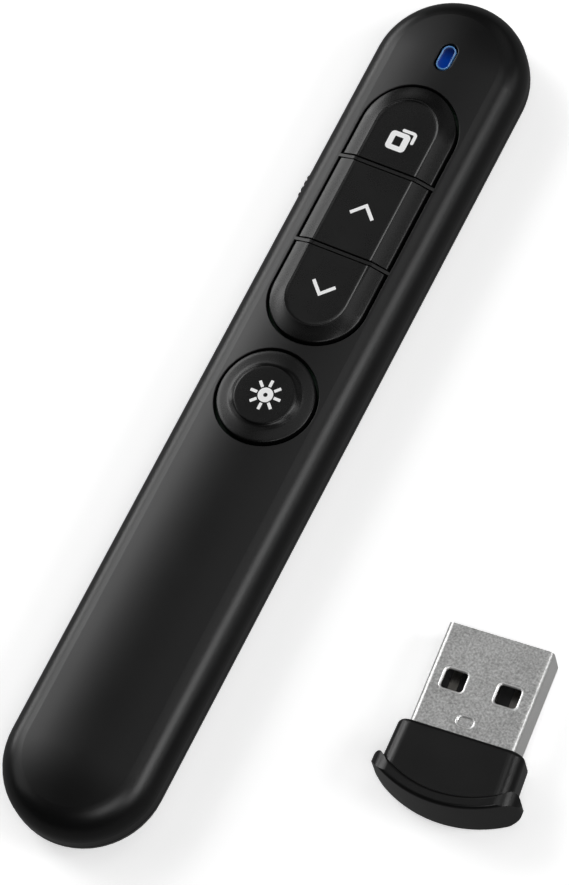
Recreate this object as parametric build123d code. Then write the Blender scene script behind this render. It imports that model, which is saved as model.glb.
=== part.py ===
from build123d import *
import os
from math import asin, cos, degrees, radians, sin, sqrt

# Wireless presentation clicker with its USB receiver lying beside it.
# Millimetres. +Z up, +Y along the handset towards the pointer end, +X to its right.
# The origin is the centre of the handset's flat underside. The receiver lies on the same surface.

# ---- handset housing ----
body_width = 18.0
body_length = 107.0
body_height = 8.4
crown_rise = 1.3            # how far the crown falls from its middle line over half the width
top_edge_radius = 3.5
bottom_edge_radius = 3.0
wall = 1.3
parting_height = 3.0        # where the two covers meet
lip_height = 0.8
lip_thickness = 0.55
lip_gap = 0.05
seam = 0.12                 # groove round the outside where the covers meet
opening_edge_radius = 0.1

# ---- keys ----
key_top = 8.95              # highest line of every key
key_flat = 8.87             # flat middle of the three keys, inside their raised lip
key_proud = 0.2             # how far the rim of a key stands above the crown round it
key_gap = 0.3               # between a key and the edge of its opening
key_border = 1.6            # width of the sloping border
key_lip = 0.42              # width of the raised lip
bank_centre = 23.92         # middle of the opening for the three keys
bank_length = 33.64
bank_half_width = 5.82
bank_divisions = (18.57, 29.67)
bar_width = 0.36            # cross-bars of the top cover between the keys
bar_gap = 0.14
bar_drop = 0.1
laser_key_opening = 5.82    # radius
laser_disc_radius = 3.5
laser_ring_top = 8.67       # inner edge of the sloping ring
laser_ring_inner = 3.62
key_ceiling = 7.1           # underside of the top cover around the keys
key_skirt_bottom = 6.6
key_flange_width = 0.85
key_flange_thickness = 0.45
key_roof = 7.2              # underside of a key inside its skirt
key_skirt = 1.0

# ---- status light ----
lens_centre = 44.95
lens_slot = (2.05, 3.5)
lens_gap = 0.15
lens_top = 8.28
lens_foot = 6.6

# ---- circuit board and what is on it ----
board_top = 5.9
board_thickness = 0.6
board_width = 13.0
board_back = -7.2
board_front = 46.6
board_corner = 2.0
board_bottom = board_top - board_thickness
screw_places = ((-5.1, -5.5), (5.1, -5.5), (-4.9, 43.3), (4.9, 43.3))
screw_radius = 0.6
screw_head_radius = 1.1
screw_length = 4.0
boss_radius = 1.6

switch_size = 3.4
switch_height = 0.55
plunger_radius = 0.8
plunger_bottom = 6.3
plunger_top = 6.95
plunger_clearance = 0.08

# ---- battery ----
battery_size = (12.0, 36.0, 4.0)
battery_back = -46.0
lead_diameter = 0.6

# ---- laser pointer ----
laser_height = 3.6
laser_radius = 1.65
laser_back = 42.4
laser_front = 51.9
aperture_radius = 1.2

# ---- charging port, on the left side ----
port_y = 14.0
port_width = 8.94
port_height = 3.16
port_corner = 1.45
port_sheet = 0.25
port_mouth = -8.75
port_depth = 7.0

# ---- power switch, on the left side ----
power_y = 26.0              # knob at rest, switched off
power_travel = 2.0
knob_width = 2.6
knob_height = 1.2
knob_gap = 0.1
knob_z = 4.05
knob_face = -9.25

# ---- receiver ----
shell_width = 12.0
shell_height = 4.5
shell_reach = 12.0          # bare metal in front of the plastic
shell_hidden = 1.5
shell_sheet = 0.3
shell_corner = 0.6
window_size = (2.5, 2.3)
window_across = 3.05
window_along = 5.75
sleeve_front_width = 14.4
sleeve_back_width = 15.0
sleeve_height = 5.8
sleeve_edge_radius = 1.7
sleeve_front_radius = 0.5
grip_height = 6.4
grip_width = 16.9
grip_thickness = 1.4
grip_edge_radius = 0.4
grip_end_radius = 2.6       # rounding of its ends, seen from the plug
grip_arc_radius = 12.3      # front face of the grip, seen from above
grip_arc_depth = 6.9        # how far behind the sleeve's front the arc's middle lies
receiver_place = (36.2, -26.1)
receiver_yaw = 5.5

half_width = body_width / 2
end_centre = body_length / 2 - half_width
crown_radius = (half_width**2 + crown_rise**2) / (2 * crown_rise)
crown_centre = body_height - crown_radius


def block(x0, x1, y0, y1, z0, z1):
    """A box given by its two corners."""
    return Pos((x0 + x1) / 2, (y0 + y1) / 2, (z0 + z1) / 2) * Box(x1 - x0, y1 - y0, z1 - z0)


def stadium(half, length, y, z0, z1):
    """An upright prism with round ends, long along Y."""
    outline = Pos(0, y, z0) * Rot(0, 0, 90) * SlotOverall(length, 2 * half)
    return extrude(outline, z1 - z0)


def disc(radius, x, y, z0, z1):
    return Pos(x, y, (z0 + z1) / 2) * Cylinder(radius, z1 - z0)


def rod_along_y(radius, y0, y1, z):
    return Pos(0, (y0 + y1) / 2, z) * Rot(90, 0, 0) * Cylinder(radius, y1 - y0)


# ---------------------------------------------------------------- housing
def half_section(inset):
    """Right half of the cross-section: flat base, round edges, crowned top."""
    half = half_width - inset
    low = bottom_edge_radius - inset
    high = top_edge_radius - inset
    crown = crown_radius - inset
    edge_x = half_width - top_edge_radius
    edge_z = crown_centre + sqrt((crown_radius - top_edge_radius) ** 2 - edge_x**2)
    reach = crown / (crown_radius - top_edge_radius)
    join = (edge_x * reach, crown_centre + (edge_z - crown_centre) * reach)
    base_x = half_width - bottom_edge_radius
    diagonal = sqrt(0.5)
    with BuildSketch(Plane.XZ) as section:
        with BuildLine():
            Line((0, inset), (base_x, inset))
            ThreePointArc(
                (base_x, inset),
                (base_x + low * diagonal, bottom_edge_radius - low * diagonal),
                (half, bottom_edge_radius),
            )
            Line((half, bottom_edge_radius), (half, edge_z))
            ThreePointArc(
                (half, edge_z),
                (edge_x + high * diagonal, edge_z + high * diagonal),
                join,
            )
            mid_x = join[0] / 2
            ThreePointArc(
                join,
                (mid_x, crown_centre + sqrt(crown**2 - mid_x**2)),
                (0, body_height - inset),
            )
            Line((0, body_height - inset), (0, inset))
        make_face()
    return section.sketch


def housing_blank(inset):
    """The solid housing, or its hollow when an inset is given."""
    section = half_section(inset)
    right_side = extrude(Pos(0, end_centre, 0) * section, 2 * end_centre)
    middle = right_side + mirror(right_side, Plane.YZ)
    puck = revolve(section, Axis.Z, 360)
    front = Pos(0, end_centre, 0) * (puck & block(-20, 20, 0, 20, -1, 20))
    back = Pos(0, -end_centre, 0) * (puck & block(-20, 20, -20, 0, -1, 20))
    return middle + front + back


def ring_between(outer_inset, inner_inset, z0, z1):
    """A band of the housing wall between two insets and two heights."""
    slab = block(-20, 20, -60, 60, z0, z1)
    return (housing_blank(outer_inset) & slab) - housing_blank(inner_inset)


def snap_catches(depth, half, z0, z1):
    """Six small catches on the lip, or the pockets that they click into."""
    catches = []
    face = half_width - wall + lip_thickness
    for y in (-34, -12, 36):
        for side in (-1, 1):
            inner, outer = sorted((side * (face - 0.3), side * (face + depth)))
            catches.append(block(inner, outer, y - half, y + half, z0, z1))
    return Compound(children=catches)


def side_openings():
    """What passes through both covers: the laser's way out, the charging port and the power knob."""
    aperture = rod_along_y(aperture_radius, laser_front - 1.5, body_length / 2 + 1, laser_height)
    mouth = RectangleRounded(port_height + 0.24, port_width + 0.24, port_corner)
    port = extrude(Pos(-half_width - 1, port_y, port_z) * Rot(0, 90, 0) * mouth, 3.5)
    knob_half = knob_width / 2 + 0.15
    knob_slot = block(
        -half_width - 1, -half_width + wall + 0.5,
        power_y - knob_half, power_y + power_travel + knob_half,
        knob_z - knob_height / 2 - knob_gap, knob_z + knob_height / 2 + knob_gap,
    )
    return aperture + port + knob_slot


port_z = board_bottom - port_height / 2
bank_spread = bank_length - 2 * bank_half_width     # between the centres of the two round ends


def pill_wire(half, low, high, height):
    """Outline with two round ends about y = low and y = high. Its height may change with x."""
    def end(centre, way):
        turns = [radians(180 * step / 12) for step in range(13)]
        points = [(way * half * cos(a), centre + way * half * sin(a)) for a in turns]
        return Spline(*[(x, y, height(x)) for x, y in points],
                      tangents=((0, way, 0), (0, -way, 0)))

    side = height(half)
    with BuildLine() as outline:
        if high > low:
            Line((half, low, side), (half, high, side))
        end(high, 1)
        if high > low:
            Line((-half, high, side), (-half, low, side))
        end(low, -1)
    return outline.wire()


def crowned_block(half, low, high, bottom, inner_half, inner_top, lower=0.0):
    """Upright wall whose rim follows the crown of the housing, and a border that slopes up from it."""
    foot = pill_wire(half, low, high, lambda x: bottom)
    rim = pill_wire(half, low, high, lambda x: crown_height(x) + key_proud - lower)
    inner = pill_wire(inner_half, low, high, lambda x: inner_top - lower)
    wall_faces = Shell.make_loft([foot, rim], ruled=True).faces()
    border_faces = Shell.make_loft([rim, inner], ruled=True).faces()
    return Solid(Shell([*wall_faces, *border_faces, Face(foot), Face(inner)]))


def crown_height(x):
    return crown_centre + sqrt(crown_radius**2 - x**2)


bank_ends = (bank_centre - bank_spread / 2, bank_centre + bank_spread / 2)


def key_mesa(half, bottom, lower=0.0):
    """The three keys as one form: wall, sloping border, raised lip and flat middle."""
    lip_half = bank_half_width - key_gap - key_border
    mesa = crowned_block(half, *bank_ends, bottom, lip_half, key_flat, lower)
    lip = stadium(lip_half - 0.02, bank_spread + 2 * lip_half - 0.04, bank_centre,
                  key_flat - lower - 0.3, key_top - lower)
    lip = fillet(lip.edges().group_by(Axis.Z)[-1], 0.07)
    inside = lip_half - key_lip
    lip -= stadium(inside, bank_spread + 2 * inside, bank_centre, 8.0, 9.5)
    return mesa + lip


def round_opening(cover, half, centre, reach):
    """Take the sharpness off the edge of one opening in the crown."""
    def on_rim(point):
        across = abs(point.X) < half + 0.01
        return across and abs(point.Y - centre) < reach + 0.01 and point.Z > key_ceiling + 0.4

    rim = [edge for edge in cover.edges() if all(on_rim(edge @ share) for share in (0, 0.5, 1))]
    return fillet(rim, opening_edge_radius)


def make_top_cover():
    upper = block(-20, 20, -60, 60, parting_height, 20)
    cover = (housing_blank(0) - housing_blank(wall)) & upper
    cover -= ring_between(wall - lip_thickness - lip_gap, wall,
                          parting_height, parting_height + lip_height + lip_gap)
    cover -= snap_catches(0.25, 2.1, 3.25, 3.65)
    # room under the ceiling for the flanges of the keys
    cover -= stadium(bank_half_width + 0.8, bank_length + 1.6, bank_centre, 6.0, key_ceiling)
    cover -= disc(laser_key_opening + 0.8, 0, 0, 6.0, key_ceiling)
    # openings for the keys and the status lens
    cover -= stadium(bank_half_width, bank_length, bank_centre, 6.0, 10)
    cover -= disc(laser_key_opening, 0, 0, 6.0, 10)
    cover -= stadium(lens_slot[0] / 2, lens_slot[1], lens_centre, 6.0, 10)
    cover = round_opening(cover, bank_half_width, bank_centre, bank_length / 2)
    cover = round_opening(cover, laser_key_opening, 0, laser_key_opening)
    cover = round_opening(cover, lens_slot[0] / 2, lens_centre, lens_slot[1] / 2)
    cover -= side_openings()
    cover -= ring_between(-0.05, seam, parting_height, parting_height + seam / 2)
    # cross-bars between the keys
    bars = key_mesa(bank_half_width + 0.13, key_ceiling, bar_drop)
    for y in bank_divisions:
        cover += bars & block(-20, 20, y - bar_width / 2, y + bar_width / 2, 0, 20)
    return cover


def make_bottom_cover():
    lower = block(-20, 20, -60, 60, -1, parting_height)
    cover = (housing_blank(0) & lower) - housing_blank(wall)
    lip = ring_between(wall - lip_thickness, wall, parting_height - 0.6,
                       parting_height + lip_height)
    lip += snap_catches(0.2, 2.0, 3.3, 3.6)
    # the lip stops short of the laser, the charging port and the power switch
    lip -= block(-2.6, 2.6, 50, 55, parting_height, 6)
    lip -= block(-10, -6, port_y - 5.2, power_y + power_travel + 5.5, parting_height, 6)
    cover += lip
    for x, y in screw_places:
        cover += disc(boss_radius, x, y, wall - 0.2, board_bottom)
        cover -= disc(screw_radius - 0.05, x, y, board_bottom - screw_length, board_bottom)
    # ribs that hold the battery endwise
    for y in (battery_back - 0.9, battery_back + battery_size[1] + 0.2):
        cover += block(-4.0, 4.0, y, y + 0.7, wall - 0.2, 2.6)
    # stiffening ribs under the board
    for y in (2.0, 36.5):
        cover += block(-6.6, 6.6, y, y + 0.8, wall - 0.2, 2.2)
    # saddles under the laser barrel
    for y in (44.4, 48.6):
        cover += block(-2.4, 2.4, y, y + 1.0, wall - 0.2, laser_height)
    cover -= rod_along_y(laser_radius + 0.02, laser_back - 1, laser_front, laser_height)
    cover -= ring_between(-0.05, seam, parting_height - seam / 2, parting_height)
    return cover - side_openings()


# ---------------------------------------------------------------- keys and light
def key_bank():
    """The three keys before they are cut apart."""
    half = bank_half_width - key_gap
    bank = key_mesa(half, key_skirt_bottom)
    flange = half + key_flange_width
    bank += stadium(flange, bank_spread + 2 * flange, bank_centre,
                    key_skirt_bottom, key_skirt_bottom + key_flange_thickness)
    return bank


def cut_key(bank, y0, y1, lower_end, upper_end):
    """One key of the bank, hollowed from below, with the post that presses its switch."""
    key = bank & block(-20, 20, y0, y1, 0, 20)
    inner = bank_half_width - key_gap - key_skirt
    hollow = stadium(inner, bank_spread + 2 * inner, bank_centre, 0, key_roof)
    cut0 = y0 + (0 if lower_end else key_skirt)
    cut1 = y1 - (0 if upper_end else key_skirt)
    key -= hollow & block(-20, 20, cut0, cut1, 0, 20)
    return key


def add_post(key, y):
    return key + disc(plunger_radius, 0, y, plunger_top, key_roof)


def make_bank_keys():
    bank = key_bank()
    clear = bar_width / 2 + bar_gap
    low, high = bank_divisions
    spans = {
        "page_down_key": (0, low - clear, True, False),
        "page_up_key": (low + clear, high - clear, False, False),
        "window_key": (high + clear, 60, False, True),
    }
    keys = {}
    for name, (y0, y1, low_end, high_end) in spans.items():
        keys[name] = add_post(cut_key(bank, y0, y1, low_end, high_end), switch_places[name])
    return keys


def make_laser_key():
    """Round key: a shallow sloping ring round a raised disc."""
    rim = laser_key_opening - key_gap
    key = crowned_block(rim, 0, 0, key_skirt_bottom, laser_ring_inner, laser_ring_top)
    key += disc(rim + key_flange_width, 0, 0, key_skirt_bottom,
                key_skirt_bottom + key_flange_thickness)
    raised = disc(laser_disc_radius, 0, 0, key_roof, key_top)
    key += fillet(raised.edges().group_by(Axis.Z)[-1], 0.12)
    key -= disc(rim - key_skirt, 0, 0, 0, key_roof)
    return add_post(key, 0)


switch_places = {"laser_key": 0.0, "page_down_key": 13.0, "page_up_key": 24.12, "window_key": 34.9}


def make_plunger(y):
    return disc(plunger_radius, 0, y, plunger_bottom, plunger_top)


def make_tact_switches():
    """Four low switches. Each has a well that its plunger sinks into."""
    bodies = []
    half = switch_size / 2
    for y in switch_places.values():
        body = block(-half, half, y - half, y + half, board_top, board_top + switch_height)
        body = chamfer(body.edges().group_by(Axis.Z)[-1], 0.12)
        body -= disc(plunger_radius + plunger_clearance, 0, y, board_top + 0.05, 8)
        bodies.append(body)
    return Compound(children=bodies)


def make_status_lens():
    """Light pipe: a pill that fills the slot and a flange that hangs it under the cover."""
    half = lens_slot[0] / 2 - lens_gap
    pill = stadium(half, lens_slot[1] - 2 * lens_gap, lens_centre, lens_foot, lens_top)
    pill = fillet(pill.edges().group_by(Axis.Z)[-1], 0.15)
    flange = stadium(half + 0.6, lens_slot[1] + 0.9, lens_centre, lens_foot, lens_foot + 0.3)
    return pill + flange


def make_status_led():
    return block(-0.4, 0.4, lens_centre - 0.8, lens_centre + 0.8, board_top, board_top + 0.4)


# ---------------------------------------------------------------- inside the handset
def make_main_board():
    middle = (board_back + board_front) / 2
    outline = RectangleRounded(board_width, board_front - board_back, board_corner)
    board = extrude(Pos(0, middle, board_bottom) * outline, board_thickness)
    for x, y in screw_places:
        board -= disc(screw_radius + 0.15, x, y, 0, 10)
    return board


def make_board_screws():
    screws = []
    for x, y in screw_places:
        head = disc(screw_head_radius, x, y, board_top, board_top + 0.5)
        head = fillet(head.edges().group_by(Axis.Z)[-1], 0.25)
        shank = disc(screw_radius - 0.05, x, y, board_top - screw_length + 0.2, board_top)
        cross = block(x - 0.6, x + 0.6, y - 0.12, y + 0.12, board_top + 0.3, 8)
        cross += block(x - 0.12, x + 0.12, y - 0.6, y + 0.6, board_top + 0.3, 8)
        screws.append(head + shank - cross)
    return Compound(children=screws)


def make_battery():
    width, length, height = battery_size
    cell = block(-width / 2, width / 2, battery_back, battery_back + length,
                 wall + 0.05, wall + 0.05 + height)
    cell = fillet(cell.edges().filter_by(Axis.Y), 1.2)
    return fillet(cell.edges().group_by(Axis.Y)[-1], 0.3)


def make_lead(points, radius):
    """A wire along straight runs that are joined by tangent arcs."""
    with BuildLine() as path:
        FilletPolyline(*points, radius=radius)
    start = Plane(origin=path.line @ 0, z_dir=path.line % 0)
    return sweep(start * Circle(lead_diameter / 2), path=path.line)


battery_front = battery_back + battery_size[1]
plug_back = -6.4


def make_battery_lead(x):
    points = [
        (x, battery_front, 3.3), (x, battery_front + 1.5, 3.3),
        (x, plug_back - 0.9, board_bottom - 0.7), (x, plug_back, board_bottom - 0.7),
    ]
    return make_lead(points, 0.8)


def make_battery_plug():
    plug = block(-2.1, 2.1, plug_back, plug_back + 3.4, board_bottom - 1.5, board_bottom)
    return chamfer(plug.edges().group_by(Axis.Z)[0], 0.2)


def make_laser_leads():
    leads = []
    for x in (-0.8, 0.8):
        points = [(x, laser_back, laser_height), (x, laser_back - 2.0, laser_height),
                  (x, laser_back - 2.0, board_bottom)]
        leads.append(make_lead(points, 1.3))
    return Compound(children=leads)


def make_laser_barrel():
    barrel = rod_along_y(laser_radius, laser_back, laser_front, laser_height)
    barrel = chamfer(barrel.edges().filter_by(GeomType.CIRCLE), 0.2)
    barrel -= rod_along_y(laser_radius - 0.12, 46.6, 46.9, laser_height) - rod_along_y(
        laser_radius - 0.3, 46, 47, laser_height)
    barrel -= rod_along_y(aperture_radius, laser_front - 1.6, laser_front + 1, laser_height)
    return barrel


def make_laser_lens():
    lens = rod_along_y(aperture_radius, laser_front - 1.6, laser_front - 0.6, laser_height)
    dome = Pos(0, laser_front - 3.2, laser_height) * Sphere(3.0)
    return rod_along_y(aperture_radius, laser_front - 1.6, laser_front - 0.3, laser_height) & (lens + dome)


def make_laser_window():
    return rod_along_y(aperture_radius - 0.02, body_length / 2 - 1.2, body_length / 2 - 0.3, laser_height)


def make_charge_port():
    """Rolled steel shell of the port, open to the left."""
    outer = RectangleRounded(port_height, port_width, port_corner)
    inner = RectangleRounded(port_height - 2 * port_sheet, port_width - 2 * port_sheet,
                             port_corner - port_sheet)
    place = Pos(port_mouth, port_y, port_z) * Rot(0, 90, 0)
    return extrude(place * outer, port_depth) - extrude(place * inner, port_depth)


def make_charge_port_tongue():
    back = port_mouth + port_depth
    inner = RectangleRounded(port_height - 2 * port_sheet, port_width - 2 * port_sheet,
                             port_corner - port_sheet)
    stop = extrude(Pos(back - 1.0, port_y, port_z) * Rot(0, 90, 0) * inner, 1.0)
    blade = block(port_mouth + 0.9, back, port_y - 3.35, port_y + 3.35, port_z - 0.35, port_z + 0.35)
    return stop + blade


def make_power_switch():
    body = block(-6.4, -3.7, 23.65, 30.35, board_bottom - 1.4, board_bottom)
    slot_half = 0.65 + 0.15
    body -= block(-7, -4.8, power_y - slot_half, power_y + power_travel + slot_half,
                  board_bottom - 1.2, board_bottom - 0.3)
    return body


def make_power_lever():
    return block(-6.95, -4.95, power_y - 0.65, power_y + 0.65, board_bottom - 1.1, board_bottom - 0.4)


def make_power_knob():
    """A plate that slides behind the wall, a ribbed thumb pad outside and a fork round the lever."""
    half = knob_width / 2
    plate = block(-7.6, -7.1, power_y - 3.6, power_y + 3.6, 3.2, 4.8)
    pad = block(knob_face, -7.6, power_y - half, power_y + half,
                knob_z - knob_height / 2, knob_z + knob_height / 2)
    for offset in (-0.8, 0, 0.8):
        y = power_y + offset
        pad -= block(knob_face - 1, knob_face + 0.25, y - 0.15, y + 0.15, 3, 5)
    knob = plate + pad
    for side in (-1, 1):
        y0, y1 = sorted((power_y + side * 0.75, power_y + side * 1.35))
        knob += block(-7.1, -6.6, y0, y1, 3.6, board_bottom - 0.45)
    return knob


def make_chip(width, length, height, x, y):
    """A chip on the underside of the board."""
    chip = block(x - width / 2, x + width / 2, y - length / 2, y + length / 2,
                 board_bottom - height, board_bottom)
    return chamfer(chip.edges().group_by(Axis.Z)[0], 0.1)


# ---------------------------------------------------------------- receiver
# Built level, with +Y out of the plug and its origin under the front edge of the plastic,
# then set down so that the grip and the tip of the plug both touch the surface.
receiver_mid = grip_height / 2
shell_low = receiver_mid - shell_height / 2
arc_centre = grip_arc_radius - grip_arc_depth


def shell_section(inset):
    return RectangleRounded(shell_width - 2 * inset, shell_height - 2 * inset, shell_corner - inset)


def along_plug(sketch, y0, y1):
    """Extrude a section that faces along the plug from y0 to y1."""
    return extrude(Pos(0, y1, receiver_mid) * Rot(90, 0, 0) * sketch, y1 - y0)


def make_receiver_shell():
    """Folded steel sleeve with two windows above and below and a stamped oval."""
    shell = along_plug(shell_section(0), -shell_hidden, shell_reach)
    shell -= along_plug(shell_section(shell_sheet), -shell_hidden, shell_reach)
    top = receiver_mid + shell_height / 2
    width, length = window_size
    for side in (-1, 1):
        place = Pos(side * window_across, window_along, 0)
        shell -= extrude(place * RectangleRounded(width, length, 0.4), grip_height)
        # the punched edge is drawn in a little, above and below
        brim = place * RectangleRounded(width + 0.22, length + 0.22, 0.51)
        edge = place * RectangleRounded(width - 0.02, length - 0.02, 0.39)
        for face, way in ((top, -1), (shell_low, 1)):
            shell -= loft([Pos(0, 0, face - 0.01 * way) * brim, Pos(0, 0, face + 0.11 * way) * edge],
                          ruled=True)
    oval = Pos(-0.2, 1.6, 0)
    return shell - loft([Pos(0, 0, top + 0.01) * oval * SlotOverall(2.0, 1.25),
                         Pos(0, 0, top - 0.11) * oval * SlotOverall(1.7, 0.95)], ruled=True)


def make_receiver_tongue():
    """Plastic blade that carries the contacts, against the lower wall of the shell."""
    half = shell_width / 2 - shell_sheet
    low = shell_low + shell_sheet
    blade = block(-half + 0.05, half - 0.05, -shell_hidden, shell_reach - 0.4, low, low + 1.95)
    blade = chamfer(blade.edges().filter_by(Axis.Y).group_by(Axis.Z)[0], 0.3)
    return chamfer(blade.edges().group_by(Axis.Y)[-1], 0.25)


def make_receiver_contacts():
    strips = []
    top = shell_low + shell_sheet + 1.95
    for x, length in ((-3.5, 9.4), (-1.0, 8.4), (1.0, 8.4), (3.5, 9.4)):
        strips.append(block(x - 0.5, x + 0.5, 1.2, 1.2 + length, top, top + 0.15))
    return Compound(children=strips)


def make_receiver_sleeve():
    """Plastic sleeve: widens a little to the back, where it ends on the curve of the grip."""
    depth = grip_arc_depth + 1
    front = Pos(0, 0, receiver_mid) * Rot(90, 0, 0) * RectangleRounded(
        sleeve_front_width, sleeve_height, sleeve_edge_radius)
    back = Pos(0, -depth, receiver_mid) * Rot(90, 0, 0) * RectangleRounded(
        sleeve_back_width, sleeve_height, sleeve_edge_radius)
    sleeve = loft([front, back], ruled=True)
    sleeve = fillet(sleeve.edges().group_by(Axis.Y)[-1], sleeve_front_radius)
    sleeve &= disc(grip_arc_radius, 0, arc_centre, -1, grip_height + 1)
    sleeve -= along_plug(RectangleRounded(shell_width + 0.04, shell_height + 0.04, shell_corner + 0.02),
                         -shell_hidden, 1)
    cavity = along_plug(RectangleRounded(11.2, 3.9, 0.4), -depth, -shell_hidden)
    return sleeve - cavity


def make_receiver_grip():
    """Curved thumb grip that closes the back of the sleeve: an arc with round tips."""
    middle = grip_arc_radius + grip_thickness / 2
    tip_x = grip_width / 2 - grip_thickness / 2
    tip_angle = degrees(asin(tip_x / middle))
    section = Plane.XZ * Pos(middle, receiver_mid) * RectangleRounded(
        grip_thickness, grip_height, grip_edge_radius)
    bow = revolve(section, Axis.Z, 2 * tip_angle)
    grip = Pos(0, arc_centre, 0) * Rot(0, 0, -90 - tip_angle) * bow
    for side in (-1, 1):
        tip = disc(grip_thickness / 2, side * tip_x, arc_centre - sqrt(middle**2 - tip_x**2),
                   0, grip_height)
        grip += fillet(tip.edges().filter_by(GeomType.CIRCLE), grip_edge_radius)
    outline = RectangleRounded(grip_width + 0.02, grip_height + 0.02, grip_end_radius)
    return grip & along_plug(outline, -20, 0)


def make_receiver_board():
    return block(-5.3, 5.3, -5.6, -shell_hidden, receiver_mid - 0.4, receiver_mid + 0.4)


def make_receiver_chip():
    return block(-1.6, 1.6, -5.1, -1.9, receiver_mid + 0.4, receiver_mid + 1.1)


def settled(part, tilt, drop):
    """Move a receiver piece from its level frame to where it lies."""
    place = Pos(receiver_place[0], receiver_place[1], drop) * Rot(0, 0, receiver_yaw) * Rot(-tilt, 0, 0)
    return place * part


def make_receiver():
    pieces = {
        "receiver_shell": make_receiver_shell(),
        "receiver_tongue": make_receiver_tongue(),
        "receiver_contacts": make_receiver_contacts(),
        "receiver_sleeve": make_receiver_sleeve(),
        "receiver_grip": make_receiver_grip(),
        "receiver_board": make_receiver_board(),
        "receiver_chip": make_receiver_chip(),
    }
    # the plug tips down until its lower edge meets the surface
    rest_line = 5.75
    tilt = degrees(asin(shell_low / (shell_reach + rest_line)))
    lowest = min(settled(p, tilt, 0).bounding_box().min.Z for p in pieces.values())
    return {name: settled(p, tilt, -lowest) for name, p in pieces.items()}


# ---------------------------------------------------------------- all pieces
def make_pieces():
    pieces = {"top_cover": make_top_cover(), "bottom_cover": make_bottom_cover()}
    pieces.update(make_bank_keys())
    pieces["laser_key"] = make_laser_key()
    for name, y in switch_places.items():
        pieces[name.replace("key", "plunger")] = make_plunger(y)
    pieces["tact_switches"] = make_tact_switches()
    pieces["status_lens"] = make_status_lens()
    pieces["status_led"] = make_status_led()
    pieces["main_board"] = make_main_board()
    pieces["board_screws"] = make_board_screws()
    pieces["battery"] = make_battery()
    pieces["battery_lead_red"] = make_battery_lead(-1.0)
    pieces["battery_lead_black"] = make_battery_lead(1.0)
    pieces["battery_plug"] = make_battery_plug()
    pieces["laser_barrel"] = make_laser_barrel()
    pieces["laser_lens"] = make_laser_lens()
    pieces["laser_leads"] = make_laser_leads()
    pieces["laser_window"] = make_laser_window()
    pieces["charge_port"] = make_charge_port()
    pieces["charge_port_tongue"] = make_charge_port_tongue()
    pieces["power_switch"] = make_power_switch()
    pieces["power_lever"] = make_power_lever()
    pieces["power_knob"] = make_power_knob()
    pieces["radio_chip"] = make_chip(4.0, 4.0, 0.8, 2.0, 1.5)
    pieces["charger_chip"] = make_chip(2.9, 1.6, 1.0, 3.2, 16.0)
    pieces["crystal"] = make_chip(3.2, 2.5, 0.7, -3.4, 1.5)
    pieces.update(make_receiver())
    return pieces


os.makedirs("parts", exist_ok=True)
for node, solid in make_pieces().items():
    export_step(solid, f"parts/{node}.step")
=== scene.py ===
import bmesh
import bpy
import math
from mathutils import Matrix, Vector


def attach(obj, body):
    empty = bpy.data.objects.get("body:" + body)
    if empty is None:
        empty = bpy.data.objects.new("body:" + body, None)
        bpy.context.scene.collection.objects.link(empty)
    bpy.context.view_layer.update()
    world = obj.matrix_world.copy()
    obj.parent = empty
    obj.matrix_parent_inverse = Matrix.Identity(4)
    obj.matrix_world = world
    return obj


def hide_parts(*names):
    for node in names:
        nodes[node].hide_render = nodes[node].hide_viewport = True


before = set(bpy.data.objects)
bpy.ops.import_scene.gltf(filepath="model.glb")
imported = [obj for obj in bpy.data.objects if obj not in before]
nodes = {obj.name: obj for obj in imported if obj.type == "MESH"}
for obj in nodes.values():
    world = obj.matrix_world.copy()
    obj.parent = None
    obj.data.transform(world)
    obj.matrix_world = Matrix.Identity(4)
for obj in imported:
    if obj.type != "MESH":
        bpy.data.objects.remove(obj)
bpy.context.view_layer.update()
scene = bpy.context.scene
mm = 0.001          # sizes below are in millimetres unless a note says otherwise
print("frame loaded,", len(nodes), "CAD pieces")


# camera
cameraPlace = {
    "azimuth": 48.4,        # degrees round the clicker, 0 looks along +Y
    "elevation": 64.02,
    "roll": -23.5,
    "distance": 512.8,
    "lens": 188.8,
    "sensor": 36.0,
    "clip": (0.01, 20.0),   # metres
    "aim": (1.136, -1.12, -0.776),
}


def makeCamera(place):
    azimuth = math.radians(place["azimuth"])
    elevation = math.radians(place["elevation"])
    roll = math.radians(place["roll"])
    back = Vector((math.sin(azimuth) * math.cos(elevation),
                   -math.cos(azimuth) * math.cos(elevation), math.sin(elevation)))
    right = Vector((0, 0, 1)).cross(back).normalized()
    level = back.cross(right)
    up = level * math.cos(roll) - right * math.sin(roll)
    spot = back * place["distance"] * mm
    outward = (spot - Vector(place["aim"]) * mm).normalized()
    side = up.cross(outward).normalized()
    above = outward.cross(side)
    data = bpy.data.cameras.new("studioCamera")
    data.lens = place["lens"]
    data.sensor_width = place["sensor"]
    data.clip_start, data.clip_end = place["clip"]
    data.dof.use_dof = False
    camera = bpy.data.objects.new("studioCamera", data)
    scene.collection.objects.link(camera)
    for row in range(3):
        camera.matrix_world[row][0] = side[row]
        camera.matrix_world[row][1] = above[row]
        camera.matrix_world[row][2] = outward[row]
        camera.matrix_world[row][3] = spot[row]
    return camera


scene.camera = makeCamera(cameraPlace)
scene.view_settings.view_transform = "Standard"


# finishes: every one is a node material whose grain is sized in millimetres
noiseSpan = (0.3, 0.7)      # the part of its range that a noise mostly fills
flatFacing = 0.97           # how level a face is before it counts as flat
cloudDetail, grainDetail = 3.0, 2.0     # octaves of the two noises


def addNoise(tree, vector, size, detail):
    noise = tree.nodes.new("ShaderNodeTexNoise")
    noise.inputs["Scale"].default_value = 1 / (size * mm)
    noise.inputs["Detail"].default_value = detail
    tree.links.new(vector, noise.inputs["Vector"])
    return noise.outputs["Fac"]


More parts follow.
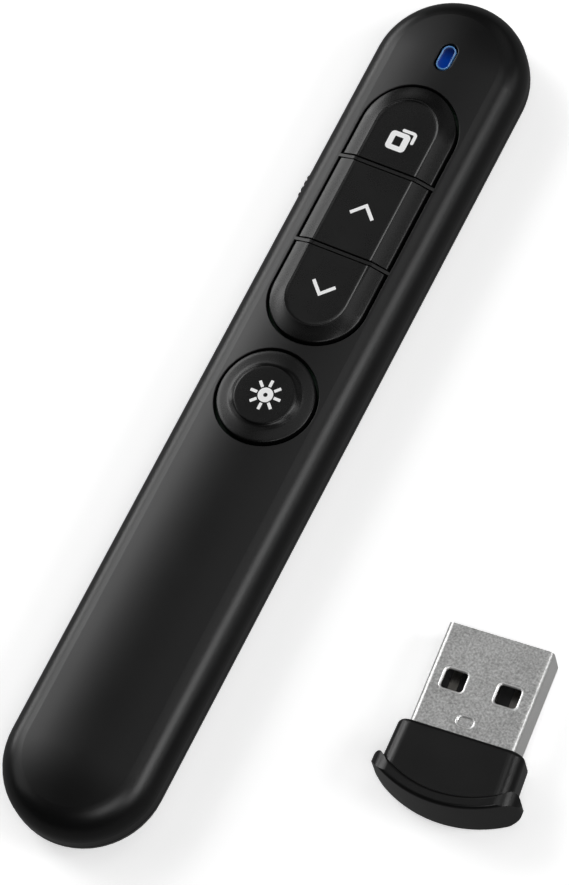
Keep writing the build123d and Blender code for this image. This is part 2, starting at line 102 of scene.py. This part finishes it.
def addMix(tree, factor, first, second):
    mix = tree.nodes.new("ShaderNodeMix")
    mix.data_type = "FLOAT"
    for socket, value in zip((mix.inputs[0], mix.inputs[2], mix.inputs[3]), (factor, first, second)):
        if isinstance(value, float):
            socket.default_value = value
        else:
            tree.links.new(value, socket)
    return mix.outputs[0]


def addRange(tree, value, span, result):
    spread = tree.nodes.new("ShaderNodeMapRange")
    spread.inputs["From Min"].default_value, spread.inputs["From Max"].default_value = span
    spread.inputs["To Min"].default_value, spread.inputs["To Max"].default_value = result
    tree.links.new(value, spread.inputs["Value"])
    return spread


def addAxis(tree, vector, axis):
    split = tree.nodes.new("ShaderNodeSeparateXYZ")
    tree.links.new(vector, split.inputs["Vector"])
    return split.outputs[axis]


def addFade(tree, place, share, look):
    along = addAxis(tree, place.outputs["Object"], "Y")
    drift = addRange(tree, along, [y * mm for y in look["fade"]], (0.0, 1.0))
    return addMix(tree, look["fadeShare"], share, drift.outputs["Result"])


# painted sheen: faces that are not level get a lighter colour, standing in for the light they
# reflect
def addPaintedWallSheen(tree, place, share, look):
    level = tree.nodes.new("ShaderNodeMath")
    level.operation = "ABSOLUTE"
    tree.links.new(addAxis(tree, place.outputs["Normal"], "Z"), level.inputs[0])
    paintedSheen = addRange(tree, level.outputs["Value"], (0.0, flatFacing), (look["wallSheen"], 0.0))
    return addMix(tree, paintedSheen.outputs["Result"], share, 1.0)


def makeFinish(name, look):
    material = bpy.data.materials.new(name)
    material.use_nodes = True
    tree = material.node_tree
    shader = tree.nodes["Principled BSDF"]
    for socket, value in look.get("fixed", {}).items():
        shader.inputs[socket].default_value = value
    place = tree.nodes.new("ShaderNodeTexCoord")
    stretch = tree.nodes.new("ShaderNodeMapping")
    stretch.inputs["Scale"].default_value = look.get("stretch", (1, 1, 1))
    tree.links.new(place.outputs["Object"], stretch.inputs["Vector"])
    # a slow change over the piece and the fine texture of its surface
    cloud = addNoise(tree, place.outputs["Object"], look["cloudSize"], cloudDetail)
    grain = addNoise(tree, stretch.outputs["Vector"], look["grainSize"], grainDetail)
    mottle = addMix(tree, look["grainShare"], cloud, grain)

    share = mottle
    if "fade" in look:                  # the colour drifts along Y
        share = addFade(tree, place, share, look)
    if "wallSheen" in look:               # painted sheen: walls, bends and cut edges, every face that is not level, are lightened towards the third colour
        share = addPaintedWallSheen(tree, place, share, look)
    tint = tree.nodes.new("ShaderNodeValToRGB")
    stops = tint.color_ramp.elements
    stops[0].position, stops[1].position = noiseSpan
    if len(look["colours"]) == 3:
        stops.new(1.0)
    for stop, colour in zip(stops, look["colours"]):
        stop.color = (*colour, 1)
    tree.links.new(share, tint.inputs["Fac"])
    tree.links.new(tint.outputs["Color"], shader.inputs["Base Color"])

    polish = addRange(tree, mottle, noiseSpan, look["roughness"])
    tree.links.new(polish.outputs["Result"], shader.inputs["Roughness"])

    relief = tree.nodes.new("ShaderNodeBump")
    relief.inputs["Distance"].default_value = look["depth"] * mm
    relief.inputs["Strength"].default_value = 1.0
    tree.links.new(grain, relief.inputs["Height"])
    tree.links.new(relief.outputs["Normal"], shader.inputs["Normal"])
    return material


def dress(material, *names):
    for name in names:
        slots = nodes[name].data.materials
        if not slots:
            slots.append(material)
        for place in range(len(slots)):
            slots[place] = material


finishes = {
    "softTouchBlack": {
        "colours": ((0.0028, 0.0028, 0.0029), (0.0038, 0.0038, 0.0039)),
        "roughness": (0.30, 0.35), "cloudSize": 9.0,
        "grainSize": 0.16, "grainShare": 0.35, "depth": 0.0006,
        "fixed": {"Specular IOR Level": 0.35},
    },
    "keyBlack": {
        "colours": ((0.0025, 0.0025, 0.0025), (0.0034, 0.0034, 0.0034)),
        "roughness": (0.25, 0.30), "cloudSize": 6.0,
        "grainSize": 0.12, "grainShare": 0.35, "depth": 0.0001,
        "fixed": {"Specular IOR Level": 0.35},
    },
    "receiverBlack": {
        "colours": ((0.0025, 0.0025, 0.0025), (0.0035, 0.0035, 0.0035)),
        "roughness": (0.28, 0.33), "cloudSize": 5.0,
        "grainSize": 0.14, "grainShare": 0.35, "depth": 0.0004,
        "fixed": {"Specular IOR Level": 0.35},
    },
    "plugSteel": {
        # the third colour is the painted sheen on the plug's walls and edges
        "colours": ((0.31, 0.31, 0.306), (0.70, 0.70, 0.694), (0.96, 0.96, 0.95)),
        "roughness": (0.33, 0.44), "cloudSize": 3.0,
        "grainSize": 0.24, "grainShare": 0.8, "depth": 0.006,
        "wallSheen": 0.85,
        "fixed": {"Metallic": 0.82},
    },
    "rolledSteelHighlight": {
        # lighter than the plug's steel: a painted highlight on the real rolled edges
        "colours": ((0.84, 0.84, 0.832), (0.96, 0.96, 0.95)),
        "roughness": (0.26, 0.34), "cloudSize": 1.0,
        "grainSize": 0.2, "grainShare": 0.5, "depth": 0.0006,
        "fixed": {"Metallic": 0.82},
    },
    "portSteel": {
        "colours": ((0.45, 0.45, 0.45), (0.60, 0.60, 0.60)),
        "roughness": (0.22, 0.34), "cloudSize": 3.0,
        "grainSize": 0.2, "grainShare": 0.5, "depth": 0.0006, "stretch": (0.1, 1, 1),
        "fixed": {"Metallic": 1.0},
    },
    "contactNickel": {
        "colours": ((0.16, 0.15, 0.14), (0.26, 0.25, 0.23)),
        "roughness": (0.28, 0.40), "cloudSize": 2.0,
        "grainSize": 0.2, "grainShare": 0.5, "depth": 0.0005, "stretch": (1, 0.1, 1),
        "fixed": {"Metallic": 1.0},
    },
    "laserBrass": {
        "colours": ((0.62, 0.44, 0.18), (0.74, 0.54, 0.24)),
        "roughness": (0.22, 0.36), "cloudSize": 2.0,
        "grainSize": 0.25, "grainShare": 0.6, "depth": 0.0008, "stretch": (1, 0.15, 1),
        "fixed": {"Metallic": 1.0},
    },
    "boardGreen": {
        "colours": ((0.003, 0.026, 0.010), (0.006, 0.044, 0.016)),
        "roughness": (0.28, 0.42), "cloudSize": 2.5,
        "grainSize": 0.5, "grainShare": 0.5, "depth": 0.004,
    },
    "chipBlack": {
        "colours": ((0.014, 0.014, 0.015), (0.024, 0.024, 0.026)),
        "roughness": (0.45, 0.60), "cloudSize": 1.5,
        "grainSize": 0.12, "grainShare": 0.6, "depth": 0.002,
    },
    "innerBlack": {
        "colours": ((0.012, 0.012, 0.012), (0.020, 0.020, 0.020)),
        "roughness": (0.45, 0.58), "cloudSize": 4.0,
        "grainSize": 0.2, "grainShare": 0.5, "depth": 0.001,
    },
    "batteryFoil": {
        "colours": ((0.52, 0.53, 0.55), (0.66, 0.67, 0.69)),
        "roughness": (0.24, 0.40), "cloudSize": 6.0,
        "grainSize": 1.2, "grainShare": 0.5, "depth": 0.02,
        "fixed": {"Metallic": 1.0},
    },
    "plugWhite": {
        "colours": ((0.66, 0.64, 0.58), (0.76, 0.74, 0.68)),
        "roughness": (0.40, 0.52), "cloudSize": 2.0,
        "grainSize": 0.3, "grainShare": 0.4, "depth": 0.001,
    },
    "wireRed": {
        "colours": ((0.38, 0.010, 0.008), (0.50, 0.018, 0.014)),
        "roughness": (0.36, 0.48), "cloudSize": 2.0,
        "grainSize": 0.3, "grainShare": 0.4, "depth": 0.001,
    },
    "wireBlack": {
        "colours": ((0.012, 0.012, 0.012), (0.022, 0.022, 0.022)),
        "roughness": (0.36, 0.48), "cloudSize": 2.0,
        "grainSize": 0.3, "grainShare": 0.4, "depth": 0.001,
    },
    "signWhite": {
        "colours": ((0.93, 0.93, 0.93), (0.97, 0.97, 0.97)),
        "roughness": (0.45, 0.60), "cloudSize": 0.8,
        "grainSize": 0.08, "grainShare": 0.5, "depth": 0.0008,
    },
    "clearLens": {
        "colours": ((0.55, 0.58, 0.62), (0.72, 0.75, 0.78)),
        "roughness": (0.04, 0.10), "cloudSize": 1.5,
        "grainSize": 0.4, "grainShare": 0.3, "depth": 0.0003,
        "fixed": {"Transmission Weight": 0.9, "IOR": 1.49},
    },
    "lensDeep": {                       # darker towards the laser end
        "colours": ((0.000, 0.032, 0.260), (0.000, 0.008, 0.070)),
        "roughness": (0.10, 0.18), "cloudSize": 0.9,
        "grainSize": 0.3, "grainShare": 0.3, "depth": 0.0006,
        "fade": (43.9, 46.6), "fadeShare": 0.8,     # from and to, along Y
        "fixed": {"Specular IOR Level": 0.3},
    },
    "lensRimHighlight": {
        # light blue: a painted highlight on the lens's rounded edge
        "colours": ((0.080, 0.220, 0.480), (0.110, 0.270, 0.560)),
        "roughness": (0.14, 0.20), "cloudSize": 0.9,
        "grainSize": 0.2, "grainShare": 0.3, "depth": 0.0001,
    },
}
made = {name: makeFinish(name, look) for name, look in finishes.items()}

dress(made["softTouchBlack"], "top_cover", "bottom_cover", "power_knob")
dress(made["keyBlack"], "window_key", "page_up_key", "page_down_key", "laser_key")
dress(made["innerBlack"], "window_plunger", "page_up_plunger", "page_down_plunger",
      "laser_plunger", "receiver_tongue", "charge_port_tongue", "power_switch", "power_lever")
dress(made["receiverBlack"], "receiver_sleeve", "receiver_grip")
dress(made["plugSteel"], "receiver_shell")
dress(made["portSteel"], "charge_port", "tact_switches", "board_screws", "crystal")
dress(made["contactNickel"], "receiver_contacts")
dress(made["laserBrass"], "laser_barrel")
dress(made["boardGreen"], "main_board", "receiver_board")
dress(made["chipBlack"], "radio_chip", "charger_chip", "receiver_chip")
dress(made["batteryFoil"], "battery")
dress(made["plugWhite"], "battery_plug", "status_led")
dress(made["wireRed"], "battery_lead_red")
dress(made["wireBlack"], "battery_lead_black", "laser_leads")
dress(made["clearLens"], "laser_lens", "laser_window")
dress(made["lensRimHighlight"], "status_lens")
print("finishes on,", len(made))


def addPiece(name, mesh, finish, body):
    piece = bpy.data.objects.new(name, mesh)
    scene.collection.objects.link(piece)
    mesh.materials.append(made[finish])
    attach(piece, body)
    return piece


# keys
crown = {"fall": 1.3, "half": 9.0}      # the cover's top, which the key rims follow

keyBank = {
    "low": 12.92, "high": 34.92,        # centres of the two round ends
    "cuts": (18.57, 29.67), "cutHalf": 0.32,
    "edge": 0.05,                       # rounding where a key is cut
    "depth": 1.3,
    # distance from the middle line, height at the crown's top, share of the crown's fall
    "profile": (
        (3.20, 8.870, 0.0), (3.44, 8.870, 0.0), (3.51, 8.885, 0.0), (3.56, 8.915, 0.0),
        (3.61, 8.942, 0.0), (3.66, 8.950, 0.0), (3.72, 8.945, 0.0), (3.78, 8.925, 0.0),
        (3.85, 8.895, 0.0), (3.93, 8.870, 0.02), (4.60, 8.757, 0.44), (5.36, 8.625, 0.93),
        (5.43, 8.605, 0.97), (5.48, 8.565, 1.0), (5.51, 8.510, 1.0), (5.52, 8.450, 1.0),
        (5.52, 7.200, 1.0),
    ),
}

laserKey = {
    # flat disc, a hollow foot round it, and a ring that follows the crown
    "profile": (
        (3.10, 8.930, 0.0), (3.30, 8.930, 0.0), (3.38, 8.925, 0.0), (3.44, 8.905, 0.0),
        (3.48, 8.870, 0.0), (3.50, 8.840, 0.0), (3.54, 8.808, 0.03), (3.60, 8.770, 0.10),
        (3.67, 8.743, 0.21), (3.75, 8.719, 0.35), (3.82, 8.703, 0.49), (3.90, 8.690, 0.65),
        (3.97, 8.681, 0.78), (4.05, 8.673, 0.91), (4.12, 8.669, 1.00), (4.20, 8.665, 1.03),
        (4.30, 8.660, 1.04), (4.40, 8.656, 1.04), (4.60, 8.651, 1.04), (4.80, 8.647, 1.04),
        (5.00, 8.644, 1.04), (5.30, 8.638, 1.04), (5.38, 8.622, 1.04), (5.44, 8.590, 1.04),
        (5.48, 8.535, 1.04), (5.50, 8.470, 1.04), (5.50, 7.200, 1.04),
    ),
    "lean": (0.04, 0.03),               # slope of the ring's inner part against its rim, X and Y
    "leanSpan": (3.45, 4.00, 5.30),     # where the lean starts, is full and ends
}


def crownFall(x):
    return crown["fall"] * (x / crown["half"]) ** 2


def ringAround(distance, height, share, low, high, steps):
    points = []
    for centre, start in ((high, 0.0), (low, math.pi)):
        for step in range(steps + 1):
            angle = start + math.pi * step / steps
            x = distance * math.cos(angle)
            y = centre + distance * math.sin(angle)
            points.append((x, y, height - share * crownFall(x)))
    if low == high:         # a round key: the points where its two halves meet are doubled
        del points[2 * steps + 1], points[steps]
    return points


def bridge(form, rings):
    for inner, outer in zip(rings, rings[1:]):
        count = len(inner)
        for i in range(count):
            j = (i + 1) % count
            form.faces.new((inner[i], outer[i], outer[j], inner[j]))


def keyForm(profile, low, high, steps=40, capped=True):
    form = bmesh.new()
    rings = []
    for distance, height, share in profile:
        ring = ringAround(distance, height, share, low, high, steps)
        rings.append([form.verts.new(Vector(p) * mm) for p in ring])
    if capped:
        form.faces.new(rings[0])
    bridge(form, rings)
    return form


def cutAcross(form, y, side, edge, depth, steps=3):
    cutY = (y + side * edge) * mm
    near = 1e-7
    everything = form.verts[:] + form.edges[:] + form.faces[:]
    bmesh.ops.bisect_plane(form, geom=everything, plane_co=(0, cutY, 0),
                           plane_no=(0, -side, 0), clear_outer=True)
    rim = [e for e in form.edges if e.is_boundary
           and all(abs(v.co.y - cutY) < near for v in e.verts)]
    # a quarter turn over the edge, then straight down
    turns = [math.radians(90 * step / steps) for step in range(steps + 1)]
    moves = [(-side * edge * (math.sin(b) - math.sin(a)), edge * (math.cos(b) - math.cos(a)))
             for a, b in zip(turns, turns[1:])]
    moves.append((0.0, -depth))
    for across, down in moves:
        grown = bmesh.ops.extrude_edge_only(form, edges=rim)["geom"]
        fresh = [g for g in grown if isinstance(g, bmesh.types.BMVert)]
        bmesh.ops.translate(form, verts=fresh, vec=(0, across * mm, down * mm))
        rim = [g for g in grown if isinstance(g, bmesh.types.BMEdge)
               and all(v in fresh for v in g.verts)]


def evenShading(piece):
    weighted = piece.modifiers.new("evenShading", "WEIGHTED_NORMAL")
    weighted.keep_sharp = True          # keeps the flat tops flat up to their rounded edges


def finishForm(form, name, sharp=35.0):     # edges turn sharp past this many degrees
    bmesh.ops.recalc_face_normals(form, faces=form.faces[:])
    mesh = bpy.data.meshes.new(name)
    form.to_mesh(mesh)
    form.free()
    mesh.shade_smooth()
    mesh.set_sharp_from_angle(angle=math.radians(sharp))
    return mesh


bankSpans = {       # the cuts that bound each key, on its tail side and on its laser side
    "window_key": (1, None), "page_up_key": (0, 1), "page_down_key": (None, 0),
}
for node, (lowCut, highCut) in bankSpans.items():
    form = keyForm(keyBank["profile"], keyBank["low"], keyBank["high"])
    if lowCut is not None:
        cutAcross(form, keyBank["cuts"][lowCut] + keyBank["cutHalf"], 1,
                  keyBank["edge"], keyBank["depth"])
    if highCut is not None:
        cutAcross(form, keyBank["cuts"][highCut] - keyBank["cutHalf"], -1,
                  keyBank["edge"], keyBank["depth"])
    piece = addPiece(node + "_cap", finishForm(form, node), "keyBlack",
                     node.replace("key", "button"))
    evenShading(piece)
    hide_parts(node)


# tilts the foot and the ring of the laser key as one, while the disc and the rim stay
def leanRing(form, lean, span):
    start, full, end = (reach * mm for reach in span)
    for vert in form.verts:
        reach = vert.co.xy.length
        if start < reach < end:
            inward = (lean[1] * vert.co.y - lean[0] * vert.co.x) / reach
            vert.co.z -= inward * min(end - reach, (end - full) * (reach - start) / (full - start))


form = keyForm(laserKey["profile"], 0.0, 0.0)
leanRing(form, laserKey["lean"], laserKey["leanSpan"])
piece = addPiece("laser_key_cap", finishForm(form, "laser_key"), "keyBlack", "laser_button")
evenShading(piece)
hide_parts("laser_key")
print("keys made")


# status lens: a rounded rim painted light blue as its edge highlight, round a deep blue window
lens = {
    "low": 44.225, "high": 45.675,      # centres of the two round ends
    "steps": 20, "sharp": 60.0,
    "window": ((0.20, 8.195, 0.0), (0.40, 8.192, 0.0), (0.55, 8.188, 0.0), (0.63, 8.180, 0.0)),
    "rim": ((0.63, 8.180, 0.0), (0.645, 8.205, 0.0), (0.665, 8.240, 0.0), (0.695, 8.265, 0.0),
            (0.73, 8.278, 0.0), (0.76, 8.276, 0.0), (0.79, 8.255, 0.0), (0.815, 8.220, 0.0),
            (0.83, 8.170, 0.0), (0.83, 6.650, 0.0)),
}
piece = addPiece("status_lens_rim",
                 finishForm(keyForm(lens["rim"], lens["low"], lens["high"], lens["steps"], False),
                            "status_lens_rim", lens["sharp"]), "lensRimHighlight", "handset")
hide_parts("status_lens")
piece = addPiece("status_lens_window",
                 finishForm(keyForm(lens["window"], lens["low"], lens["high"], lens["steps"]),
                            "status_lens_window", lens["sharp"]), "lensDeep", "handset")
print("lens made")


# signs on the keys
signs = {
    "thick": 0.012,
    "bankTop": keyBank["profile"][0][1],
    "discTop": laserKey["profile"][0][1],
    "sun": {"centre": (0.12, 0.0), "disc": 0.87, "hole": 0.25, "rays": 8,
            "rayStart": 1.02, "rayEnd": 1.84, "rayHalf": 0.175, "rayCorner": 0.06},
    "up": {"tip": (0.16, 25.04), "arm": 1.52, "half": 0.20, "way": 1},
    "down": {"tip": (0.10, 12.86), "arm": 1.50, "half": 0.20, "way": -1},
    "window": {"low": (-1.36, 32.06), "high": (1.04, 34.38), "corner": 0.50,
               "holeLow": (-0.70, 32.66), "holeHigh": (0.30, 33.80), "holeCorner": 0.06,
               "bracket": ((-0.08, 34.71), (1.42, 34.71), (1.42, 33.56)), "bend": 0.30,
               "half": 0.19, "steps": 8},
}


def arcPoints(x, y, radius, start, end, steps):
    turn = [math.radians(start + (end - start) * i / steps) for i in range(steps + 1)]
    return [(x + radius * math.cos(a), y + radius * math.sin(a)) for a in turn]


def circlePoints(centre, radius, count):
    return arcPoints(*centre, radius, 0, 360 - 360 / count, count - 1)


def roundedBox(low, high, corner, steps=6):
    corners = ((high[0] - corner, high[1] - corner, 0), (low[0] + corner, high[1] - corner, 90),
               (low[0] + corner, low[1] + corner, 180), (high[0] - corner, low[1] + corner, 270))
    return [p for x, y, a in corners for p in arcPoints(x, y, corner, a, a + 90, steps)]


def turned(points, centre, angle):
    c, s = math.cos(angle), math.sin(angle)
    return [(centre[0] + x * c - y * s, centre[1] + x * s + y * c) for x, y in points]


def makeSign(name, outlines, height, body):
    curve = bpy.data.curves.new(name, "CURVE")
    curve.dimensions = "2D"
    curve.fill_mode = "BOTH"
    curve.extrude = signs["thick"] / 2 * mm
    for outline in outlines:
        spline = curve.splines.new("POLY")
        spline.points.add(len(outline) - 1)
        for point, (x, y) in zip(spline.points, outline):
            point.co = (x * mm, y * mm, 0, 1)
        spline.use_cyclic_u = True
    drawn = bpy.data.objects.new(name + "_curve", curve)
    scene.collection.objects.link(drawn)
    mesh = bpy.data.meshes.new_from_object(drawn)
    bpy.data.objects.remove(drawn)
    bpy.data.curves.remove(curve)
    for vertex in mesh.vertices:
        vertex.co.z += (height + signs["thick"] / 2) * mm
    return addPiece(name, mesh, "signWhite", body)


def chevron(sign):
    x, y = sign["tip"]
    arm, way, half = sign["arm"], sign["way"], sign["half"] * math.sqrt(2)
    outline = [(0, 0), (arm, -arm), (arm - half, -arm - half), (0, -2 * half),
               (half - arm, -arm - half), (-arm, -arm)]
    return [(x + across, y + way * along) for across, along in outline]


sun = signs["sun"]
sunLines = [circlePoints(sun["centre"], sun["disc"], 48),
            circlePoints(sun["centre"], sun["hole"], 24)]
for ray in range(sun["rays"]):
    bar = roundedBox((sun["rayStart"], -sun["rayHalf"]), (sun["rayEnd"], sun["rayHalf"]),
                     sun["rayCorner"])
    sunLines.append(turned(bar, sun["centre"], 2 * math.pi * ray / sun["rays"]))
makeSign("sun_sign", sunLines, signs["discTop"], "laser_button")
makeSign("up_sign", [chevron(signs["up"])], signs["bankTop"], "page_up_button")
makeSign("down_sign", [chevron(signs["down"])], signs["bankTop"], "page_down_button")

window = signs["window"]
(x0, y0), (x1, y1), (x2, y2) = window["bracket"]
half, bend, steps = window["half"], window["bend"], window["steps"]
bracket = (arcPoints(x0, y0, half, 90, 270, steps)
           + arcPoints(x1 - bend, y1 - bend, bend - half, 90, 0, steps)
           + arcPoints(x2, y2, half, 180, 360, steps)
           + arcPoints(x1 - bend, y1 - bend, bend + half, 0, 90, steps))
makeSign("window_sign", [
    roundedBox(window["low"], window["high"], window["corner"]),
    roundedBox(window["holeLow"], window["holeHigh"], window["holeCorner"]),
    bracket,
], signs["bankTop"], "window_button")
print("signs made")


# rolled rims on the receiver's plug, round its latch windows and its stamped oval
plugRims = {
    # where the receiver lies, and its turn and tilt in degrees
    "place": (36.2, -26.1, -0.306), "yaw": 5.5, "tilt": 3.068,
    "top": 5.45,                            # flat of the plug before the receiver is tilted
    # distance from the outline, height over the flat
    "window": ((-0.01, -0.100), (0.02, -0.035), (0.06, 0.004), (0.11, 0.020),
               (0.16, 0.022), (0.21, 0.014), (0.25, -0.002), (0.27, -0.020)),
    "oval": ((-0.16, -0.105), (-0.12, -0.060), (-0.07, -0.012), (-0.02, 0.012),
             (0.03, 0.016), (0.08, 0.008), (0.12, -0.012)),
    "sharp": 60.0,
    # profile, middle, width, length and corner of each rim
    "rims": {
        "latch_rim_left": ("window", (-3.05, 5.75), 2.5, 2.3, 0.40),
        "latch_rim_right": ("window", (3.05, 5.75), 2.5, 2.3, 0.40),
        "oval_rim": ("oval", (-0.2, 1.6), 2.0, 1.25, 0.625),
    },
}


def rimForm(profile, middle, width, length, corner):
    form = bmesh.new()
    rings = []
    for reach, rise in plugRims[profile]:
        low = (middle[0] - width / 2 - reach, middle[1] - length / 2 - reach)
        high = (middle[0] + width / 2 + reach, middle[1] + length / 2 + reach)
        ring = roundedBox(low, high, corner + reach)
        rings.append([form.verts.new(Vector((x, y, plugRims["top"] + rise)) * mm) for x, y in ring])
    bridge(form, rings)
    form.transform(Matrix.Translation(Vector(plugRims["place"]) * mm)
                   @ Matrix.Rotation(math.radians(plugRims["yaw"]), 4, "Z")
                   @ Matrix.Rotation(-math.radians(plugRims["tilt"]), 4, "X"))
    return form


for name, rim in plugRims["rims"].items():
    # the rims' shape is real; their lighter steel is painted highlight
    piece = addPiece(name, finishForm(rimForm(*rim), name, plugRims["sharp"]),
                     "rolledSteelHighlight", "receiver")
print("plug rims made")


# floor: pale paper that glows like a light table, more so far away
paper = {
    "size": 6.0,                # metres
    "drop": 0.02,               # keeps the paper clear of the flat underside
    "white": 0.90, "roughness": 0.9, "specular": 0.1,
    "glow": (0.42, 0.93),       # near the clicker and far away
    "rise": (0.3, 1.3),         # metres from the middle where the glow starts and stops rising
    "mirrored": 0.15,           # what gloss sees of it, or the black plastic turns grey from below
}


def makeFloor(look):
    form = bmesh.new()
    bmesh.ops.create_grid(form, x_segments=1, y_segments=1, size=look["size"] / 2)
    mesh = bpy.data.meshes.new("floor")
    form.to_mesh(mesh)
    form.free()
    floor = bpy.data.objects.new("floor", mesh)
    floor.location.z = -look["drop"] * mm
    scene.collection.objects.link(floor)

    material = bpy.data.materials.new("floorPaper")
    material.use_nodes = True
    tree = material.node_tree
    shader = tree.nodes["Principled BSDF"]
    shader.inputs["Base Color"].default_value = (*[look["white"]] * 3, 1)
    shader.inputs["Roughness"].default_value = look["roughness"]
    shader.inputs["Specular IOR Level"].default_value = look["specular"]
    shader.inputs["Emission Color"].default_value = (1, 1, 1, 1)
    place = tree.nodes.new("ShaderNodeTexCoord")
    away = tree.nodes.new("ShaderNodeVectorMath")
    away.operation = "LENGTH"
    tree.links.new(place.outputs["Object"], away.inputs[0])
    rise = addRange(tree, away.outputs["Value"], look["rise"], look["glow"])
    rise.interpolation_type = "SMOOTHSTEP"
    tree.links.new(rise.outputs["Result"], shader.inputs["Emission Strength"])

    dim = tree.nodes.new("ShaderNodeEmission")
    dim.inputs["Strength"].default_value = look["mirrored"]
    ray = tree.nodes.new("ShaderNodeLightPath")
    pick = tree.nodes.new("ShaderNodeMixShader")
    tree.links.new(ray.outputs["Is Glossy Ray"], pick.inputs["Fac"])
    tree.links.new(shader.outputs["BSDF"], pick.inputs[1])
    tree.links.new(dim.outputs["Emission"], pick.inputs[2])
    tree.links.new(pick.outputs["Shader"], tree.nodes["Material Output"].inputs["Surface"])
    mesh.materials.append(material)


makeFloor(paper)
print("floor laid")


# soft boxes, all at one distance from the clicker
lamps = {
    "away": 0.8,                # metres
    # azimuth from +X, elevation, width and height in degrees, brightness of the panel
    "boxes": {
        "leftLow": (166, 8, 32, 12, 5.2),
        "leftLowFar": (144, 8, 12, 12, 2.8),
        "leftMiddle": (161, 20, 38, 12, 1.2),
        "leftUpper": (160, 32, 22, 12, 5.4),
        "leftUpperNear": (178, 32, 14, 12, 1.5),
        "leftTop": (162, 44, 26, 12, 5.4),
        "leftEdge": (160, 56, 30, 12, 0.7),
        "leftFar": (130, 42, 16, 22, 1.0),
        "leftNear": (200, 34, 24, 30, 0.95),
        "rightNear": (-10, 34, 20, 20, 2.4),
        "rightMiddle": (14, 34, 24, 20, 5.4),
        "rightLow": (25, 12, 44, 14, 1.0),
        "rightTop": (42, 62, 26, 16, 1.4),
        "frontTop": (-40, 56, 26, 22, 3.4),
        "overhead": (84, 74, 26, 26, 0.68),
        "behind": (75, 30, 34, 30, 0.28),
    },
}


def makeBox(name, away, azimuth, elevation, width, height, glow):
    azimuth, elevation = math.radians(azimuth), math.radians(elevation)
    spot = away * Vector((math.cos(elevation) * math.cos(azimuth),
                          math.cos(elevation) * math.sin(azimuth), math.sin(elevation)))
    data = bpy.data.lights.new(name, "AREA")
    data.shape = "RECTANGLE"
    data.size = 2 * away * math.tan(math.radians(width) / 2)
    data.size_y = 2 * away * math.tan(math.radians(height) / 2)
    data.energy = glow * math.pi * data.size * data.size_y
    light = bpy.data.objects.new(name, data)
    light.location = spot
    light.rotation_euler = spot.to_track_quat("Z", "Y").to_euler()
    scene.collection.objects.link(light)


for name, box in lamps["boxes"].items():
    makeBox(name, lamps["away"], *box)
print("boxes hung,", len(lamps["boxes"]))


# room: dark, but its far wall looks pale
room = {"light": 0.01, "wall": 0.95}


def addAir(tree, strength):
    haze = tree.nodes.new("ShaderNodeBackground")
    haze.inputs["Color"].default_value = (1, 1, 1, 1)
    haze.inputs["Strength"].default_value = strength
    return haze.outputs["Background"]


world = bpy.data.worlds.new("room")
world.use_nodes = True
air = world.node_tree
air.nodes.remove(air.nodes["Background"])
airRay = air.nodes.new("ShaderNodeLightPath")
airPick = air.nodes.new("ShaderNodeMixShader")
air.links.new(airRay.outputs["Is Camera Ray"], airPick.inputs["Fac"])
air.links.new(addAir(air, room["light"]), airPick.inputs[1])
air.links.new(addAir(air, room["wall"]), airPick.inputs[2])
air.links.new(airPick.outputs["Shader"], air.nodes["World Output"].inputs["Surface"])
scene.world = world
print("room set")
